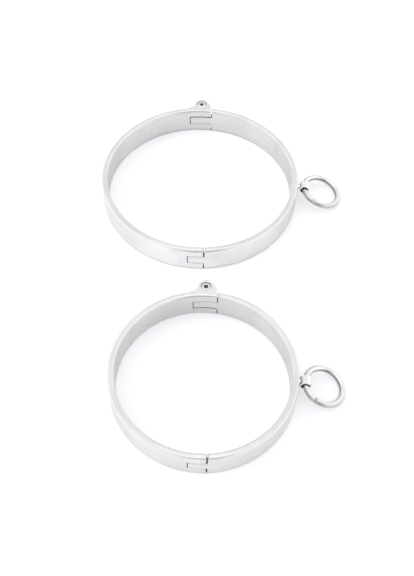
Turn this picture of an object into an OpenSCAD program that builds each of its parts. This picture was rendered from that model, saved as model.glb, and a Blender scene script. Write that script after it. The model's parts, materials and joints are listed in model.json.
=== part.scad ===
// A pair of rigid hinged wrist cuffs in two sizes, each a flat round band in two halves.
// Each cuff has a pinned hinge at the front, a keyed turn bolt in a lug at the back and
// a pull ring in a staple on its right side. Millimetres, +Z up, the cuffs lie flat on z = 0.

/* [Wrist openings] */
// Inside diameter of the large cuff
large_bore_d = 68; // [62:0.5:74]
// Inside diameter of the small cuff
small_bore_d = 55.5; // [50:0.5:62]

/* [Band] */
// Height of the flat band
band_h = 10; // [9.6:0.1:12]
// Thickness of the band
band_t = 2.2; // [2.1:0.05:2.6]
// Radius on the long edges of the band
edge_r = 0.8; // [0.7:0.05:0.9]
// Height of the tongues, about a third of the band
tongue_h = 3.3; // [3:0.1:3.5]
// Gap between the ends of the two halves where they butt
butt_gap = 0.3; // [0.1:0.05:0.4]
// Chamfer on the upper and lower edges of those ends
butt_chamfer = 0.35; // [0.1:0.05:0.5]

/* [Hinge] */
// Play above and below the hinge tongue in its slot
hinge_play = 0.18; // [0.1:0.01:0.25]
// Diameter of the hinge pin
hinge_pin_d = 1.2; // [1:0.05:1.3]
// Radial clearance of the hinge pin in the tongue
hinge_clearance = 0.06; // [0.03:0.01:0.09]
// Place of the hinge's butt line, right of the cuff's centre line
hinge_butt_x = 2.2; // [1.5:0.1:3]
// Distance from the hinge pin to the shoulders beside the tongue
hinge_shoulder = 3.7; // [3.4:0.1:4]
// Radius of the tongue's rounded end, about the hinge pin
hinge_tip_r = 2.3; // [2:0.05:2.4]

/* [Lock] */
// Distance of the lock bolt's axis outside the band
lock_reach = 1.75; // [1.7:0.05:2]
// Radius of the lug round the lock bolt
lug_r = 2.7; // [2.6:0.05:2.9]
// Radius of the flare that runs from the band into the lug
lug_flare_r = 2.8; // [1.8:0.2:5]
// How far the lug still stands out of the band at the butt line
lug_heel = 0.9; // [0.5:0.1:1.1]
// Place of the lock's butt line, right of the bolt's axis
lock_butt_x = 3.8; // [3.6:0.1:4.3]
// Length of the large cuff's lock tongue from its shoulders to its end
large_lock_tongue_l = 8.1; // [7.2:0.1:9.5]
// Length of the small cuff's lock tongue from its shoulders to its end
small_lock_tongue_l = 7.8; // [7.2:0.1:9]
// Play above and below the lock tongue in its slot
lock_play = 0.3; // [0.1:0.05:0.35]
// How far the large cuff's tongue lies below the middle of its slot
large_tongue_low = 0.15; // [-0.2:0.05:0.2]
// How far the small cuff's tongue lies below the middle of its slot
small_tongue_low = -0.15; // [-0.2:0.05:0.2]
// Diameter of the lock bolt's head
bolt_head_d = 3.2; // [2.8:0.05:3.3]
// Diameter of the lock bolt's shank
bolt_shank_d = 2; // [1.9:0.05:2.1]
// Size of the bolt's hexagon socket across its flats
socket_af = 1.5; // [1.3:0.1:1.6]

/* [Pull ring] */
// Diameter of the rings' wire
wire_d = 2; // [1.8:0.05:2.1]
// Outside diameter of the large cuff's ring
large_ring_od = 15.7; // [14.5:0.1:17]
// Outside diameter of the small cuff's ring
small_ring_od = 14.9; // [14.5:0.1:17]
// Width of the butted seam in each ring
ring_seam = 0.2; // [0.08:0.01:0.25]
// Outside diameter of the staple's eye
eye_od = 4; // [3.9:0.05:4.2]
// Diameter of the hole through the staple's eye
eye_hole_d = 2.7; // [2.7:0.05:2.8]
// Length of the staple's eye
eye_l = 3; // [2.6:0.1:3.2]
// Distance of the eye's axis outside the large cuff's band
large_eye_reach = 2.75; // [2.2:0.05:3]
// Distance of the eye's axis outside the small cuff's band
small_eye_reach = 2.25; // [2.2:0.05:3]
// Turn of the staple about the cuff's centre, from halfway between hinge and lock
staple_turn = -1.1; // [-3:0.1:3]

/* [Layout] */
// Distance of the small cuff's centre in front of the large one's
pair_pitch = 82.6; // [82:0.1:90]
// Distance of the small cuff's centre to the right of the large one's
pair_shift = 3.6; // [0:0.1:8]
// Turn of the large cuff about its centre as it lies
large_turn = 0.8; // [-2:0.1:2]

/* [Hidden] */
$fn = 96;

over = 1;              // how far a cutting shape runs past what it cuts
tip_gap = 0.25;        // gap between a tongue's end and the end of its slot
mid_z = band_h / 2;
hinge_slot_h = tongue_h + 2 * hinge_play;
lock_slot_h = tongue_h + 2 * lock_play;
large_ri = large_bore_d / 2;
small_ri = small_bore_d / 2;

// Hinge: the pin stands in the middle of the band's thickness.
pin_x = hinge_butt_x - hinge_shoulder;
arm_relief_r = hinge_shoulder - butt_gap;    // round ends of the arms, outside the pin
pin_foot = 0.1;                          // how far the pin's foot is set in
pin_bore_top = band_h - 1;               // the pin's bore is blind under the top edge

// Lock: the bolt's head sinks in the lug, and a clip holds the bolt from below.
bore_play = 0.06;
head_play = 0.15;
head_sink = 0.1;
head_h = 1.4;
head_chamfer = 0.2;
socket_depth = 1.1;
seat_z = band_h - head_sink - head_h;
seat_gap = 0.03;
pad_play = 0.12;                         // gap between the tongue's pad and the slot
pad_left = 2.2;                          // the pad's reach left of the bolt's axis
notch_play = 0.15;                       // gap between the bolt and the pad's notch
clip_pocket_r = 1.95;
clip_pocket_h = 1.1;
clip_r = 1.75;
clip_h = 0.46;
clip_z = 0.5;
clip_mouth = 1.1;                        // width of the clip's open side
groove_r = 0.7;
groove_play = 0.03;
bolt_foot = 0.15;
flare_web = 0.04;                        // narrow flat between the flare and the round end

// Pull ring: it droops from the eye until its far side touches the ground.
wire_r = wire_d / 2;
seam_at = -120;                          // place of the seam, 0 is the ring's far side
eye_edge_r = 0.2;
neck_r = 1.2;
spigot_r = 0.8;
rivet_r = 1.25;                          // the spigot's spread end, flush inside the band
rivet_h = 0.5;

// The origin is the middle of the pair's footprint.
large_ro = large_ri + band_t;
small_ro = small_ri + band_t;
left_x = min(-large_ro, pair_shift - small_ro);
right_x = max(large_ro + ring_reach(large_eye_reach, large_ring_od),
              pair_shift + small_ro + ring_reach(small_eye_reach, small_ring_od));
back_y = large_ro + lock_reach + lug_r;
front_y = -pair_pitch - small_ro;
large_at = [-(left_x + right_x) / 2, -(back_y + front_y) / 2, 0];
small_at = large_at + [pair_shift, -pair_pitch, 0];

// Radius of a ring's middle line, how far the ring droops, and how far it reaches out.
function ring_mid_r(od) = od / 2 - wire_r;
function ring_droop(od) = asin((mid_z - wire_r) / (2 * ring_mid_r(od)));
function ring_reach(eye_reach, od) =
    eye_reach + 2 * ring_mid_r(od) * cos(ring_droop(od)) + wire_r;

// Centre of the flare, which touches the band's outside and all but touches the lug's end.
function flare_centre(ro) =
    let (reach = ro + lug_flare_r, gap = lug_r + lug_flare_r + flare_web, axis = ro + lock_reach,
         y = (reach * reach - gap * gap + axis * axis) / (2 * axis))
    [-sqrt(reach * reach - y * y), y];

// Point where a straight flank from the heel touches the lug's round end.
function flank_top(ro) =
    let (across = lock_butt_x, down = lug_heel - lock_reach,
         turn = atan2(down, across) + acos(lug_r / norm([across, down])))
    [lug_r * cos(turn), ro + lock_reach + lug_r * sin(turn)];

module rounded_section(w, h, r) {
    translate([r, 0]) square([w - 2 * r, h]);
    translate([0, r]) square([w, h - 2 * r]);
    for (x = [r, w - r], y = [r, h - r]) translate([x, y]) circle(r);
}

module band(ri) {
    rotate_extrude() translate([ri, 0]) rounded_section(band_t, band_h, edge_r);
}

// Slab of the given height about the band's mid-height, or above it, over a flat outline.
module mid_slab(h, rise = 0) {
    translate([0, 0, mid_z - h / 2 + rise]) linear_extrude(h) children();
}

module band_outline(ri) {
    difference() {
        circle(ri + band_t);
        circle(ri);
    }
}

// Box over a range of x, on the hinge's side (-1) or the lock's side (1) of the cuff.
module x_range(ro, x0, x1, side) {
    reach = ro + lock_reach + lug_r + over;
    translate([x0, side < 0 ? -reach : 0, -over]) cube([x1 - x0, reach, band_h + 2 * over]);
}

module at_hinge_pin(ri) {
    mid_r = ri + band_t / 2;
    translate([pin_x, -sqrt(mid_r * mid_r - pin_x * pin_x), 0]) children();
}

module at_lock_bolt(ri) {
    translate([0, ri + band_t + lock_reach, 0]) children();
}

// Frame on the staple's line: +Z points out of the cuff along its spigot.
module at_staple() {
    rotate(staple_turn) translate([0, 0, mid_z]) rotate([0, 90, 0]) children();
}

module at_eye(ri, reach) {
    rotate(staple_turn) translate([ri + band_t + reach, 0, mid_z]) children();
}

// Outline of the lug: a round end that flares into the band on the left and runs
// straight down to the butt line on the right.
module lug_outline(ri) {
    ro = ri + band_t;
    flare = flare_centre(ro);
    root = ro - band_t / 2;
    difference() {
        union() {
            translate([0, ro + lock_reach]) circle(lug_r);
            polygon([flare * root / norm(flare), flare, [0, ro + lock_reach], flank_top(ro),
                     [lock_butt_x, ro + lug_heel], [lock_butt_x, root]]);
        }
        translate(flare) circle(lug_flare_r);
    }
}

// The part of the lug's outline that the lock tongue's pad fills, up to the bolt's axis.
module pad_outline(ri, left, top) {
    intersection() {
        lug_outline(ri);
        translate([-left, ri]) square([left + lock_butt_x, top - ri]);
    }
}

// Space that the hinge tongue turns in, with a hollow end about the pin.
module hinge_slot(ri) {
    slot_r = hinge_tip_r + tip_gap;
    at_hinge_pin(ri) mid_slab(hinge_slot_h) {
        circle(slot_r);
        translate([0, -slot_r]) square([hinge_shoulder + over, 2 * slot_r]);
    }
}

// What is cut from the arm ends outside the pin, so that the shoulders swing past them.
module arm_relief(ri) {
    at_hinge_pin(ri) translate([0, 0, -over]) linear_extrude(band_h + 2 * over)
        difference() {
            translate([0, -band_t]) square([hinge_shoulder + over, band_t]);
            circle(arm_relief_r);
        }
}

// V grooves along the upper and lower edges of a butt line.
module butt_groove(ro, x, side) {
    reach = ro + lug_heel + over;
    w = (butt_gap / 2 + butt_chamfer) * sqrt(2);
    for (z = [0, band_h])
        translate([x, side < 0 ? -reach : 0, z]) rotate([0, 45, 0])
            translate([-w / 2, 0, -w / 2]) cube([w, reach, w]);
}

module butt_grooves(ro) {
    butt_groove(ro, hinge_butt_x - butt_gap / 2, -1);
    butt_groove(ro, lock_butt_x + butt_gap / 2, 1);
}

// Space for the lock tongue and its pad. The tongue lies low in it by the given amount.
module lock_slot(ri, tongue_l, low) {
    ro = ri + band_t;
    end_x = lock_butt_x - tongue_l - tip_gap;
    axis_y = ro + lock_reach;
    mid_slab(lock_slot_h, low) {
        intersection() {
            difference() {
                circle(ro);
                circle(ri - over);
            }
            translate([end_x, 0]) square([lock_butt_x + over - end_x, ro]);
        }
        translate([-pad_left - pad_play, ri])
            square([pad_left + pad_play + lock_butt_x + over, axis_y - ri]);
    }
}

module fork_half(ri, tongue_l, low) {
    ro = ri + band_t;
    difference() {
        union() {
            intersection() {
                band(ri);
                union() {
                    x_range(ro, -ro - over, hinge_butt_x - butt_gap, -1);
                    x_range(ro, -ro - over, lock_butt_x, 1);
                }
            }
            linear_extrude(band_h) lug_outline(ri);
        }
        butt_grooves(ro);
        hinge_slot(ri);
        arm_relief(ri);
        lock_slot(ri, tongue_l, low);
        at_hinge_pin(ri) translate([0, 0, -over])
            cylinder(d = hinge_pin_d, h = pin_bore_top + over);
        at_lock_bolt(ri) {
            translate([0, 0, -over]) cylinder(r = bolt_shank_d / 2 + bore_play, h = band_h + 2 * over);
            translate([0, 0, seat_z - seat_gap]) cylinder(r = bolt_head_d / 2 + head_play, h = band_h);
            translate([0, 0, -over]) cylinder(r = clip_pocket_r, h = clip_pocket_h + over);
        }
    }
}

module tongue_half(ri, tongue_l) {
    ro = ri + band_t;
    pad_top = ro + lock_reach - pad_play;
    difference() {
        union() {
            intersection() {
                band(ri);
                union() {
                    x_range(ro, hinge_butt_x, ro + over, -1);
                    x_range(ro, lock_butt_x + butt_gap, ro + over, 1);
                }
            }
            intersection() {
                mid_slab(tongue_h) band_outline(ri);
                union() {
                    x_range(ro, pin_x, hinge_butt_x + over, -1);
                    x_range(ro, lock_butt_x - tongue_l, lock_butt_x + over, 1);
                    at_hinge_pin(ri) cylinder(r = hinge_tip_r, h = band_h);
                }
            }
            mid_slab(tongue_h) pad_outline(ri, pad_left, pad_top);
        }
        butt_grooves(ro);
        at_hinge_pin(ri) cylinder(r = hinge_pin_d / 2 + hinge_clearance, h = band_h);
        at_lock_bolt(ri) cylinder(r = bolt_shank_d / 2 + notch_play, h = band_h);
        at_staple() {
            cylinder(r = spigot_r, h = ro + over);
            translate([0, 0, ri]) cylinder(r1 = rivet_r, r2 = spigot_r, h = rivet_h);
            translate([0, 0, ri - over]) cylinder(r = rivet_r, h = over);
        }
    }
}

module hinge_pin(ri) {
    at_hinge_pin(ri) translate([0, 0, pin_foot])
        cylinder(d = hinge_pin_d, h = pin_bore_top - 2 * pin_foot);
}

// The shank is half cut away where it crosses the tongue: turned half a turn, the half
// that is left stands in the tongue's notch and locks the cuff.
module lock_bolt(ri) {
    shank_r = bolt_shank_d / 2;
    at_lock_bolt(ri) difference() {
        union() {
            translate([0, 0, seat_z]) cylinder(d = bolt_head_d, h = head_h - head_chamfer);
            translate([0, 0, band_h - head_sink - head_chamfer])
                cylinder(d1 = bolt_head_d, d2 = bolt_head_d - 2 * head_chamfer, h = head_chamfer);
            translate([0, 0, clip_z + clip_h]) cylinder(r = shank_r, h = seat_z - clip_z - clip_h);
            translate([0, 0, bolt_foot]) cylinder(r = groove_r, h = seat_z);
            translate([0, 0, bolt_foot])
                cylinder(r = shank_r, h = clip_z - groove_play - bolt_foot);
        }
        translate([-shank_r - over, -shank_r - over, mid_z - lock_slot_h / 2])
            cube([2 * (shank_r + over), shank_r + over, lock_slot_h]);
        translate([0, 0, band_h - head_sink - socket_depth])
            cylinder(r = socket_af / 2 / cos(30), h = band_h, $fn = 6);
    }
}

module retaining_clip(ri) {
    at_lock_bolt(ri) translate([0, 0, clip_z]) linear_extrude(clip_h) difference() {
        circle(clip_r);
        circle(groove_r);
        translate([-clip_mouth / 2, -clip_r - over]) square([clip_mouth, clip_r + over]);
    }
}

module ring_staple(ri, reach) {
    ro = ri + band_t;
    at_eye(ri, reach) rotate([90, 0, 0]) translate([0, 0, -eye_l / 2]) rotate_extrude()
        translate([eye_hole_d / 2, 0])
            rounded_section((eye_od - eye_hole_d) / 2, eye_l, eye_edge_r);
    difference() {
        at_staple() cylinder(r = neck_r, h = ro + reach);
        translate([0, 0, -over]) cylinder(r = ro, h = band_h + 2 * over);
        at_eye(ri, reach) rotate([90, 0, 0])
            cylinder(d = eye_hole_d + eye_edge_r, h = eye_l, center = true);
    }
    at_staple() translate([0, 0, ri]) {
        cylinder(r1 = rivet_r, r2 = spigot_r, h = rivet_h);
        cylinder(r = spigot_r, h = band_t + reach - eye_od / 2);
    }
}

module pull_ring(ri, reach, od) {
    mid_r = ring_mid_r(od);
    seam_angle = ring_seam / mid_r * 180 / PI;
    at_eye(ri, reach) rotate([0, ring_droop(od), 0]) translate([mid_r, 0, 0])
        rotate([0, 0, seam_at + seam_angle / 2])
            rotate_extrude(angle = 360 - seam_angle) translate([mid_r, 0]) circle(wire_r);
}

module in_large_place() {
    translate(large_at) rotate(large_turn) children();
}

module in_small_place() {
    translate(small_at) children();
}

module large_fork_half() color("silver") in_large_place()
    fork_half(large_ri, large_lock_tongue_l, large_tongue_low);
module large_tongue_half() color("lightgray") in_large_place()
    tongue_half(large_ri, large_lock_tongue_l);
module large_hinge_pin() color("gray") in_large_place() hinge_pin(large_ri);
module large_lock_bolt() color("dimgray") in_large_place() lock_bolt(large_ri);
module large_retaining_clip() color("gray") in_large_place() retaining_clip(large_ri);
module large_ring_staple() color("gainsboro") in_large_place()
    ring_staple(large_ri, large_eye_reach);
module large_pull_ring() color("whitesmoke") in_large_place()
    pull_ring(large_ri, large_eye_reach, large_ring_od);
module small_fork_half() color("silver") in_small_place()
    fork_half(small_ri, small_lock_tongue_l, small_tongue_low);
module small_tongue_half() color("lightgray") in_small_place()
    tongue_half(small_ri, small_lock_tongue_l);
module small_hinge_pin() color("gray") in_small_place() hinge_pin(small_ri);
module small_lock_bolt() color("dimgray") in_small_place() lock_bolt(small_ri);
module small_retaining_clip() color("gray") in_small_place() retaining_clip(small_ri);
module small_ring_staple() color("gainsboro") in_small_place()
    ring_staple(small_ri, small_eye_reach);
module small_pull_ring() color("whitesmoke") in_small_place()
    pull_ring(small_ri, small_eye_reach, small_ring_od);

large_fork_half();
large_tongue_half();
large_hinge_pin();
large_lock_bolt();
large_retaining_clip();
large_ring_staple();
large_pull_ring();
small_fork_half();
small_tongue_half();
small_hinge_pin();
small_lock_bolt();
small_retaining_clip();
small_ring_staple();
small_pull_ring();
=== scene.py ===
"""Looks for the pair of hinged wrist cuffs: satin bands, polished rings, a white studio floor.

Lengths are in metres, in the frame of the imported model, and MM turns millimetres into metres."""
import json
import math

import bpy
from mathutils import Matrix, Vector


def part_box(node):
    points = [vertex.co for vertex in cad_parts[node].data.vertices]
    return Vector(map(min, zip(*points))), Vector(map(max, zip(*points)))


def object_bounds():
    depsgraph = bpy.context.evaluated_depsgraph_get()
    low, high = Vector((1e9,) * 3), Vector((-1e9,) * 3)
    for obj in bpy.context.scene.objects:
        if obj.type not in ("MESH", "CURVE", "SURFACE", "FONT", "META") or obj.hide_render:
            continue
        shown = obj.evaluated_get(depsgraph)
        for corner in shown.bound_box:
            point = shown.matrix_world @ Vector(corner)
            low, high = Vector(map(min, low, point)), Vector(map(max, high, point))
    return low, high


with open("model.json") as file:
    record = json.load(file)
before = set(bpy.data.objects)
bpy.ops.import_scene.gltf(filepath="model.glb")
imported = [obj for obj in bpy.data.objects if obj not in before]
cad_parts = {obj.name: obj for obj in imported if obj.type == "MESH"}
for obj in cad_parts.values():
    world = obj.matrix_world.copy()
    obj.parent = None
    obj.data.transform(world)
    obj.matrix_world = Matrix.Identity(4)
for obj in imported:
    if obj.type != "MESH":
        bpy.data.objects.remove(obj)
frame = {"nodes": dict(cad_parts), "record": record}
CAD_BOX = [list(v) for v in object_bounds()]

MM = 0.001
NODES = frame["nodes"]
CUFFS = ("large", "small")

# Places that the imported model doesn't name
SEAM_AT = math.radians(-120)      # the ring's seam, turned from the side away from the staple
PIN_TO_BUTT = 3.55 * MM           # from the hinge pin to the hinge's butt line

# Colours
BAND_DARK = (0.76, 0.76, 0.76, 1)
BAND_LIGHT = (0.82, 0.82, 0.82, 1)
BAND_WORN = (0.67, 0.67, 0.67, 1)
BAND_EDGE_TINT = (0.8, 0.8, 0.8, 1)
# painted shade on the closed joints and round the staple's foot
BAND_JOINT_SHADE = (0.03, 0.028, 0.028, 1)
# painted shade in the bolt's socket and the staple's eye, and the dark line of the ring's seam
SMALL_PIECE_DARK = (0.05, 0.047, 0.047, 1)
FLOOR_WHITE = (0.86, 0.855, 0.885, 1)
# painted contact shadow on the floor under the bands
FLOOR_PAINTED_SHADOW = (0.2, 0.2, 0.2, 1)
WHITE = (1, 1, 1, 1)

# Strength of the light
FLOOR_LIFT = 0.23                 # lifts the floor to white where it is seen or mirrored
ROOM_LEVEL = 0.96
SIDE_LEVEL = 1.24
OVERHEAD_LEVEL = 1.62
FRONT_DARKER_BY = 0.62
LAMP_WATTS = 1.9


# ---------------------------------------------------------------- where things are

def node_centre(node):
    """Middle of a CAD node's box."""
    lo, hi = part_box(node)
    return (Vector(lo) + Vector(hi)) / 2


def mount(name):
    """One of the record's mounts: its place, its axis and its measures."""
    return next(m for m in frame["record"]["mounts"] if m["name"] == name)


def cuff_centre(cuff):
    """Centre of a cuff's bore, on the ground."""
    x, y, _ = mount(cuff + "_wrist_bore")["pos_m"]
    return Vector((x, y, 0))


def swing_joint(cuff):
    """Place and axis of the joint that the pull ring swings on."""
    joints = frame["record"]["behaviour"]["joints"]
    joint = next(j for j in joints if j["name"] == cuff + "_ring_swing")
    return Vector(joint["pos_m"]), Vector(joint["axis"])


class Band:
    """Measures of one cuff's band: its centre, its inner and outer radius, its height and the
    radius of its long edges."""

    def __init__(self, cuff):
        bore = mount(cuff + "_wrist_bore")["dims"]
        high_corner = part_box(cuff + "_tongue_half")[1]
        self.cuff = cuff
        self.centre = cuff_centre(cuff)
        self.inner = bore["r_mm"] * MM
        self.outer = high_corner[0] - self.centre.x
        self.height = high_corner[2]
        self.edge = (self.height - bore["length_mm"] * MM) / 2
        self.middle = (self.inner + self.outer) / 2
        self.half_thickness = (self.outer - self.inner) / 2


# ---------------------------------------------------------------- node trees

class Tree:
    """Short names for building a node tree, of a new material or of the world."""

    def __init__(self, name):
        self.material = bpy.data.materials.new(name)
        self.material.use_nodes = True
        self.start(self.material.node_tree)

    @classmethod
    def of(cls, node_tree):
        """A tree for a node tree that is there already, such as the world's."""
        tree = cls.__new__(cls)
        tree.start(node_tree)
        return tree

    def start(self, node_tree):
        self.nodes = node_tree.nodes
        self.links = node_tree.links
        self.nodes.clear()

    def add(self, kind, inputs=None, **settings):
        """A new node of a kind, with its settings, and its inputs linked or filled in."""
        node = self.nodes.new("ShaderNode" + kind)
        for key, value in settings.items():
            setattr(node, key, value)
        for key, value in (inputs or {}).items():
            self.put(node, key, value)
        return node

    def put(self, node, key, value):
        """Links an output to an input, or writes a plain value into it."""
        if isinstance(value, bpy.types.NodeSocket):
            self.links.new(value, node.inputs[key])
        else:
            node.inputs[key].default_value = value

    def maths(self, operation, *values):
        return self.add("Math", dict(enumerate(values)), operation=operation).outputs[0]

    def times(self, a, b):
        return self.maths("MULTIPLY", a, b)

    def minus(self, a, b):
        return self.maths("SUBTRACT", a, b)

    def distance(self, a, b):
        """How far apart two values are."""
        return self.maths("ABSOLUTE", self.minus(a, b))

    def length(self, x, y):
        """Length of a flat vector."""
        return self.maths("SQRT", self.maths("ADD", self.times(x, x), self.times(y, y)))

    def vector(self, operation, a, b=(0, 0, 0)):
        return self.add("VectorMath", {0: a, 1: b}, operation=operation).outputs["Vector"]

    def dot(self, a, b):
        return self.add("VectorMath", {0: a, 1: b}, operation="DOT_PRODUCT").outputs["Value"]

    def ramp(self, value, low, high, out_low, out_high):
        """out_low up to low, out_high from high on, and a straight change between them."""
        node = self.add("MapRange", {"Value": value, "From Min": low, "From Max": high,
                                     "To Min": out_low, "To Max": out_high})
        return node.outputs[0]

    def noise(self, vector, scale, detail, rough):
        node = self.add("TexNoise", {"Vector": vector, "Scale": scale, "Detail": detail,
                                     "Roughness": rough})
        return node.outputs["Fac"]

    def place(self):
        """The point that is shaded, in the frame's metres."""
        return self.add("TexCoord").outputs["Object"]

    def split(self, vector):
        return self.add("SeparateXYZ", {0: vector}).outputs

    def blend(self, factor, a, b):
        """Colour a where the factor is 0, and colour b where it is 1."""
        node = self.add("Mix", {"Factor": factor, "A": a, "B": b}, data_type="RGBA")
        return node.outputs["Result"]

    def times_grey(self, colour, grey):
        """A colour times a grey value."""
        level = self.add("CombineColor", {0: grey, 1: grey, 2: grey}).outputs[0]
        node = self.add("Mix", {0: 1.0, "A": colour, "B": level}, data_type="RGBA",
                        blend_type="MULTIPLY")
        return node.outputs["Result"]

    def surface(self, shader):
        self.add("OutputMaterial", {0: shader.outputs[0]})


# ---------------------------------------------------------------- the bands' steel

class BandPoint:
    """The shaded point in the band's coordinates: along the band, up across it and out from the
    cuff's axis, and the direction in which the band runs there."""

    def __init__(self, tree, band):
        place = tree.split(tree.place())
        x = tree.minus(place[0], band.centre.x)
        y = tree.minus(place[1], band.centre.y)
        self.tree = tree
        self.along = tree.times(tree.maths("ARCTAN2", x, y), band.outer)
        self.up = place[2]
        self.out = tree.length(x, y)
        self.course = tree.add("CombineXYZ", {0: y, 1: tree.times(x, -1.0)}).outputs[0]

    def noise(self, along_scale, cross_scale, detail, rough):
        """Noise with one scale along the band and another across it."""
        tree = self.tree
        scaled = tree.add("CombineXYZ", {0: tree.times(self.along, along_scale),
                                         1: tree.times(self.up, cross_scale),
                                         2: tree.times(self.out, cross_scale)}).outputs[0]
        return tree.noise(scaled, 1.0, detail, rough)


def joint_shade(tree, band, point):
    """1 on the walls of the joints, which lie under the band's rounded skin, 0.2 on the chamfers
    of their rims, and 0 elsewhere."""
    skin = 0.06 * MM
    below_skin = 0.09 * MM
    chamfer = 0.36 * MM
    below_chamfer = 0.42 * MM
    through = tree.distance(point.out, band.middle)
    across = tree.distance(point.up, band.height / 2)
    past_x = tree.maths("MAXIMUM", 0.0, tree.minus(through, band.half_thickness - band.edge))
    past_y = tree.maths("MAXIMUM", 0.0, tree.minus(across, band.height / 2 - band.edge))
    depth = tree.minus(band.edge, tree.length(past_x, past_y))
    deep = tree.ramp(depth, skin, below_skin, 0.0, 1.0)
    low = tree.ramp(across, band.height / 2 - below_chamfer, band.height / 2 - chamfer, 1.0, 0.2)
    return tree.times(deep, low)


def closed_joint_shade(tree, band, point):
    """Painted shade on the joints' walls where the joint is closed and shade falls, and little of
    it where the joint stands open.
    """
    open_air = tree.add("AmbientOcclusion", {"Distance": 0.8 * MM}, samples=6).outputs["AO"]
    closed = tree.ramp(open_air, 0.45, 0.8, 1.0, 0.15)
    return tree.times(joint_shade(tree, band, point), closed)


def foot_shade(tree, band):
    """Painted shadow on the band's outside round the foot of the staple, and 0 further off."""
    lo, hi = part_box(band.cuff + "_ring_staple")
    x, y, z = tree.split(tree.place())
    beside = tree.minus(tree.distance(y, (lo[1] + hi[1]) / 2), (hi[1] - lo[1]) / 2)
    above = tree.minus(tree.distance(z, (lo[2] + hi[2]) / 2), (hi[2] - lo[2]) / 2)
    near = tree.ramp(tree.maths("MAXIMUM", beside, above), 0.05 * MM, 0.45 * MM, 0.5, 0.0)
    outer_skin = band.centre.x + band.outer - 0.5 * MM
    return tree.times(near, tree.maths("GREATER_THAN", x, outer_skin))


def band_face(tree, band, point, wear):
    """Colour of the bare steel: soft upright zones of random tone that also paint in the steel's
    streaky reflections, faint wear and streaks, and painted shade on the inside wall.
    """
    # the upright zones are partly painted reflection
    zones = point.noise(75.0, 22.0, 2.0, 0.5)
    streaks = point.noise(28.0, 620.0, 2.0, 0.5)
    tint = tree.blend(tree.ramp(zones, 0.36, 0.64, 0.0, 1.0), BAND_DARK, BAND_LIGHT)
    worn = tree.blend(tree.ramp(wear, 0.55, 0.75, 0.0, 0.35), tint, BAND_WORN)
    # painted shade: the inside wall is darker
    darker_tone = tree.ramp(point.out, band.inner + 0.03 * MM, band.inner + 0.2 * MM, 0.88, 1.0)
    grey = tree.times(darker_tone, tree.ramp(streaks, 0.35, 0.65, 0.98, 1.015))
    return tree.times_grey(worn, grey)


def band_steel(cuff):
    """Satin steel with fine lines along the band, and painted shade on its joints where they are
    closed and round the staple's foot."""
    band = Band(cuff)
    tree = Tree(cuff + "_band_steel")
    point = BandPoint(tree, band)
    grain = point.noise(60.0, 2600.0, 4.0, 0.6)
    wear = point.noise(260.0, 420.0, 4.0, 0.6)
    face = band_face(tree, band, point, wear)
    shade = tree.maths("MAXIMUM", closed_joint_shade(tree, band, point), foot_shade(tree, band))
    rough = tree.maths("ADD", tree.ramp(grain, 0.3, 0.7, 0.27, 0.35),
                       tree.ramp(wear, 0.3, 0.7, -0.03, 0.05))
    # the steel is rougher where it carries painted shade
    shaded_rough = tree.add("Mix", {0: shade, 2: rough, 3: 0.8}).outputs[0]
    soft_edge = tree.add("Bevel", {"Radius": 0.12 * MM}, samples=6)
    bump = tree.add("Bump", {"Height": grain, "Strength": 0.15, "Distance": 0.04 * MM,
                             "Normal": soft_edge.outputs[0]})
    tree.surface(tree.add("BsdfPrincipled", {"Base Color": tree.blend(shade, face, BAND_JOINT_SHADE),
                                             "Metallic": tree.minus(1.0, shade),
                                             "Roughness": shaded_rough,
                                             "Anisotropic": 0.8,
                                             "Anisotropic Rotation": 0.25,
                                             "Tangent": point.course,
                                             "Specular Tint": BAND_EDGE_TINT,
                                             "Normal": bump.outputs[0]}))
    return tree.material


# ---------------------------------------------------------------- the small pieces' steel

def polished_steel(name, colour, rough, scale, dark=None, painted_shading=None):
    """Polished steel whose roughness changes between two values over the surface. dark takes the
    tree and gives where the metal is painted dark: painted shade in a recess, or a seam's dark
    line; the last argument gives painted shade that darkens the colour."""
    tree = Tree(name)
    place = tree.place()
    cloud = tree.noise(place, scale, 4.0, 0.6)
    fine = tree.noise(place, scale * 9.0, 2.0, 0.5)
    darker_tone = (*[c * 0.93 for c in colour], 1)
    result = tree.blend(tree.ramp(cloud, 0.3, 0.7, 0.0, 1.0), darker_tone, (*colour, 1))
    if painted_shading:
        result = tree.times_grey(result, painted_shading(tree))
    metal = 1.0
    if dark:
        darkening = dark(tree)
        metal = tree.minus(1.0, darkening)
        result = tree.blend(darkening, result, SMALL_PIECE_DARK)
    bump = tree.add("Bump", {"Height": fine, "Strength": 0.08, "Distance": 0.03 * MM})
    tree.surface(tree.add("BsdfPrincipled", {"Base Color": result, "Metallic": metal,
                                             "Roughness": tree.ramp(cloud, 0.3, 0.7, *rough),
                                             "Normal": bump.outputs[0]}))
    return tree.material


def socket_shade(tree, bolt):
    """Painted shade inside the bolt's hexagon socket, and 0 elsewhere."""
    radius = 0.90 * MM
    centre = node_centre(bolt)
    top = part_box(bolt)[1][2]
    x, y, z = tree.split(tree.place())
    away = tree.length(tree.minus(x, centre.x), tree.minus(y, centre.y))
    near = tree.ramp(away, radius, radius + 0.02 * MM, 1.0, 0.0)
    low = tree.ramp(z, top - 0.06 * MM, top - 0.02 * MM, 1.0, 0.0)
    return tree.times(tree.times(near, low), 0.7)


def ring_painted_shade(tree, cuff):
    """Painted shade and painted reflection on the ring's wire: full on top, darker round the
    outside, and darkest on the side that faces the ring's hole."""
    ring = mount(cuff + "_pull_ring_eye")
    axis = Vector(ring["axis"])
    place = tree.add("TexCoord")
    spot = tree.vector("SUBTRACT", place.outputs["Object"], Vector(ring["pos_m"]))
    course = tree.vector("NORMALIZE", tree.vector("CROSS_PRODUCT", axis, spot))
    inwards = tree.dot(tree.vector("CROSS_PRODUCT", axis, course), place.outputs["Normal"])
    return tree.times(tree.ramp(inwards, 0.6, 0.95, 1.0, 0.40),
                      tree.ramp(inwards, -0.95, -0.05, 0.60, 1.0))


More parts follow.
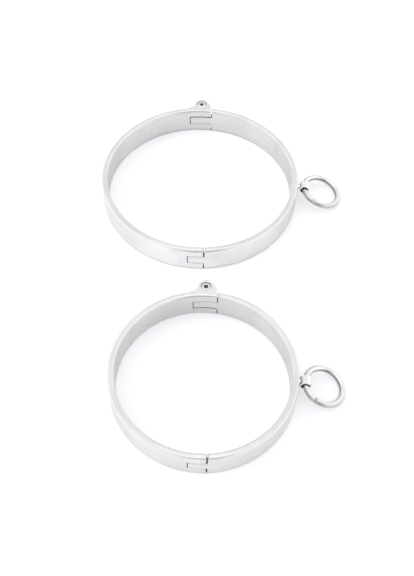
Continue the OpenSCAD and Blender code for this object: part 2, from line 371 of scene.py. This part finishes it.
def seam_shade(tree, cuff):
    """Dark at the seam where the ring's wire meets itself, and 0 elsewhere."""
    ring = mount(cuff + "_pull_ring_eye")
    middle = Vector(ring["pos_m"])
    away = (middle - swing_joint(cuff)[0]).normalized()
    sideways = Vector(ring["axis"]).cross(away)
    seam = away * math.cos(SEAM_AT) + sideways * math.sin(SEAM_AT)
    spot = tree.vector("SUBTRACT", tree.place(), middle)
    past = tree.maths("ABSOLUTE", tree.dot(spot, Vector(ring["axis"]).cross(seam)))
    near = tree.ramp(past, 0.14 * MM, 0.28 * MM, 0.9, 0.0)
    return tree.times(near, tree.maths("GREATER_THAN", tree.dot(spot, seam), 0.0))


def eye_shade(tree, cuff):
    """Painted shade: 1 on the wall of the staple's eye, and 0 elsewhere."""
    middle, axis = swing_joint(cuff)
    spot = tree.vector("SUBTRACT", tree.place(), middle)
    across = tree.vector("CROSS_PRODUCT", axis, spot)
    off_axis = tree.maths("SQRT", tree.dot(across, across))
    return tree.ramp(off_axis, 1.42 * MM, 1.50 * MM, 1.0, 0.0)


def rivet_painted_shade(tree, cuff):
    """Painted shade on the staple: none outside, and where it is riveted through the band, as dark
    as the band's painted shade inside.
    """
    x = tree.split(tree.place())[0]
    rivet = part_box(cuff + "_ring_staple")[0][0]
    return tree.ramp(x, rivet + 0.3 * MM, rivet + 0.4 * MM, 0.76, 1.0)


def bolt_steel(cuff):
    return polished_steel(cuff + "_bolt_steel", (0.90, 0.90, 0.91), rough=(0.10, 0.20),
                          scale=500.0, dark=lambda tree: socket_shade(tree, cuff + "_lock_bolt"))


def ring_steel(cuff):
    return polished_steel(cuff + "_ring_steel", (0.83, 0.83, 0.84), rough=(0.05, 0.12),
                          scale=260.0, dark=lambda tree: seam_shade(tree, cuff),
                          painted_shading=lambda tree: ring_painted_shade(tree, cuff))


def staple_steel(cuff):
    return polished_steel(cuff + "_staple_steel", (0.92, 0.92, 0.93), rough=(0.14, 0.24),
                          scale=300.0, dark=lambda tree: eye_shade(tree, cuff),
                          painted_shading=lambda tree: rivet_painted_shade(tree, cuff))


# ---------------------------------------------------------------- dressing the pieces

def paint(node, material):
    """Puts one material on a CAD node."""
    slots = NODES[node].material_slots
    if not slots:
        NODES[node].data.materials.append(material)
    for slot in slots:
        slot.material = material


def dress():
    """Puts a material on every piece of both cuffs."""
    pin = polished_steel("pin_steel", (0.66, 0.66, 0.67), rough=(0.22, 0.34), scale=600.0)
    for cuff in CUFFS:
        band = band_steel(cuff)
        paint(cuff + "_fork_half", band)
        paint(cuff + "_tongue_half", band)
        paint(cuff + "_hinge_pin", pin)
        paint(cuff + "_retaining_clip", pin)
        paint(cuff + "_lock_bolt", bolt_steel(cuff))
        paint(cuff + "_ring_staple", staple_steel(cuff))
        paint(cuff + "_pull_ring", ring_steel(cuff))


# ---------------------------------------------------------------- stage

def under_half(tree, band, half, side, inner, outer):
    """Painted shadow: 1 on the floor that one half of a band stands on, wherever the half is swung
    or lifted to, and 0 elsewhere, with the change from inner to outer past the band's edge."""
    place = tree.add("TexCoord", object=NODES[band.cuff + half]).outputs["Object"]
    x, y, z = tree.split(place)
    x = tree.minus(x, band.centre.x)
    y = tree.minus(y, band.centre.y)
    away = tree.distance(tree.length(x, y), band.middle)
    painted_shadow = tree.ramp(away, band.half_thickness + inner, band.half_thickness + outer, 1.0, 0.0)
    front_butt = node_centre(band.cuff + "_hinge_pin").x + PIN_TO_BUTT - band.centre.x
    back_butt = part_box(band.cuff + "_fork_half")[1][0] - band.centre.x
    past_butt = tree.minus(x, tree.ramp(y, -MM, MM, front_butt, back_butt))
    own = tree.maths("GREATER_THAN", tree.times(past_butt, side), 0.0)
    standing = tree.maths("LESS_THAN", tree.maths("ABSOLUTE", z), MM)
    return tree.times(painted_shadow, tree.times(own, standing))


def under_bands(tree, inner, outer):
    """1 on the floor that the bands stand on, where the floor gets painted shadow."""
    shade = 0.0
    for cuff in CUFFS:
        band = Band(cuff)
        for half, side in (("_fork_half", -1.0), ("_tongue_half", 1.0)):
            shade = tree.maths("MAXIMUM", shade, under_half(tree, band, half, side, inner, outer))
    return shade


def floor_material():
    """Pale, and lifted to white where it is seen or mirrored, but not under the bands, where it is
    painted dark as their contact shadow.
    """
    tree = Tree("floor_white")
    seen = tree.add("LightPath").outputs
    direct = tree.maths("MAXIMUM", seen["Is Camera Ray"],
                        tree.maths("MAXIMUM", seen["Is Glossy Ray"], seen["Is Transmission Ray"]))
    open_floor = tree.minus(1.0, under_bands(tree, -0.5 * MM, 0.2 * MM))
    strength = tree.times(tree.times(direct, open_floor), FLOOR_LIFT)
    lift = tree.add("Emission", {"Color": WHITE, "Strength": strength})
    painted_shadow = under_bands(tree, -0.7 * MM, -0.4 * MM)
    base = tree.add("BsdfDiffuse", {"Color": tree.blend(painted_shadow, FLOOR_WHITE, FLOOR_PAINTED_SHADOW)})
    tree.surface(tree.add("AddShader", {0: base.outputs[0], 1: lift.outputs[0]}))
    return tree.material


def white_floor(low):
    """A floor just under the height low that shows white apart from the shadows on it."""
    size = 3.0
    corners = [(-size, -size, 0), (size, -size, 0), (size, size, 0), (-size, size, 0)]
    mesh = bpy.data.meshes.new("floor")
    mesh.from_pydata(corners, [], [(0, 1, 2, 3)])
    floor = bpy.data.objects.new("floor", mesh)
    floor.location.z = low - 0.05 * MM
    bpy.context.collection.objects.link(floor)
    mesh.materials.append(floor_material())


def room_strength(tree):
    """How bright the room is each way: brightest overhead and on the left and right, a little
    greyer behind, and dark in front, where the photographer stands."""
    x, y, z = tree.split(tree.add("TexCoord").outputs["Generated"])
    sideways = tree.maths("DIVIDE", tree.maths("ABSOLUTE", x), tree.length(x, y))
    low_down = tree.ramp(z, 0.60, 0.85, 1.0, 0.0)
    round_about = tree.ramp(tree.times(sideways, low_down), 0.3, 0.85, ROOM_LEVEL, SIDE_LEVEL)
    overhead = tree.ramp(z, 0.90, 0.99, ROOM_LEVEL, OVERHEAD_LEVEL)
    level = tree.maths("MAXIMUM", round_about, overhead)
    from_front = tree.maths("ARCTAN2", tree.times(x, -1.0), tree.times(y, -1.0))
    right_end = tree.ramp(from_front, math.radians(-32), math.radians(-18), 0.0, 1.0)
    left_end = tree.ramp(from_front, math.radians(4), math.radians(18), 1.0, 0.0)
    below_head = tree.ramp(z, 0.55, 0.75, 1.0, 0.0)
    dark = tree.times(tree.times(right_end, left_end), below_head)
    return tree.times(level, tree.minus(1.0, tree.times(dark, FRONT_DARKER_BY)))


def studio_world():
    """White to the camera, and a soft room to all else."""
    world = bpy.data.worlds.new("studio")
    bpy.context.scene.world = world
    world.use_nodes = True
    tree = Tree.of(world.node_tree)
    room = tree.add("Background", {"Color": WHITE, "Strength": room_strength(tree)})
    white = tree.add("Background", {"Color": WHITE, "Strength": 1.0})
    seen = tree.add("LightPath").outputs["Is Camera Ray"]
    mix = tree.add("MixShader", {0: seen, 1: room.outputs[0], 2: white.outputs[0]})
    tree.add("OutputWorld", {0: mix.outputs[0]})


def studio_lamp():
    """A soft square lamp on the left, which the steel doesn't mirror."""
    place = Vector((-0.60, 0.05, 0.42))
    lamp = bpy.data.lights.new("key", "AREA")
    lamp.shape = "RECTANGLE"
    lamp.size = 0.5
    lamp.size_y = 0.5
    lamp.energy = LAMP_WATTS
    thing = bpy.data.objects.new("key", lamp)
    thing.location = place
    thing.rotation_mode = "QUATERNION"
    thing.rotation_quaternion = (-place).to_track_quat("-Z", "Y")
    thing.visible_glossy = False
    bpy.context.collection.objects.link(thing)


# ---------------------------------------------------------------- camera

def product_camera():
    """Looks down at the pair from the front, tipped a little to one side."""
    elevation = math.radians(54.34)
    roll = math.radians(1.87)
    distance = 0.2825
    aim = cuff_centre("large") + Vector((3.93, -44.4, 0)) * MM
    look = Vector((0, math.cos(elevation), -math.sin(elevation)))
    across = Vector((1, 0, 0))
    above = across.cross(look)
    side = across * math.cos(roll) + above * math.sin(roll)
    top = above * math.cos(roll) - across * math.sin(roll)
    camera = bpy.data.objects.new("camera", bpy.data.cameras.new("camera"))
    camera.data.sensor_width = 36.0
    camera.data.lens = 50.83
    camera.data.clip_start = 0.01
    camera.data.clip_end = 20.0
    turn = Matrix((side, top, -look)).transposed().to_4x4()
    camera.matrix_world = Matrix.Translation(aim - look * distance) @ turn
    bpy.context.collection.objects.link(camera)
    bpy.context.scene.camera = camera


dress()
white_floor(CAD_BOX[0][2])
studio_world()
studio_lamp()
product_camera()
bpy.context.scene.view_settings.view_transform = "Standard"
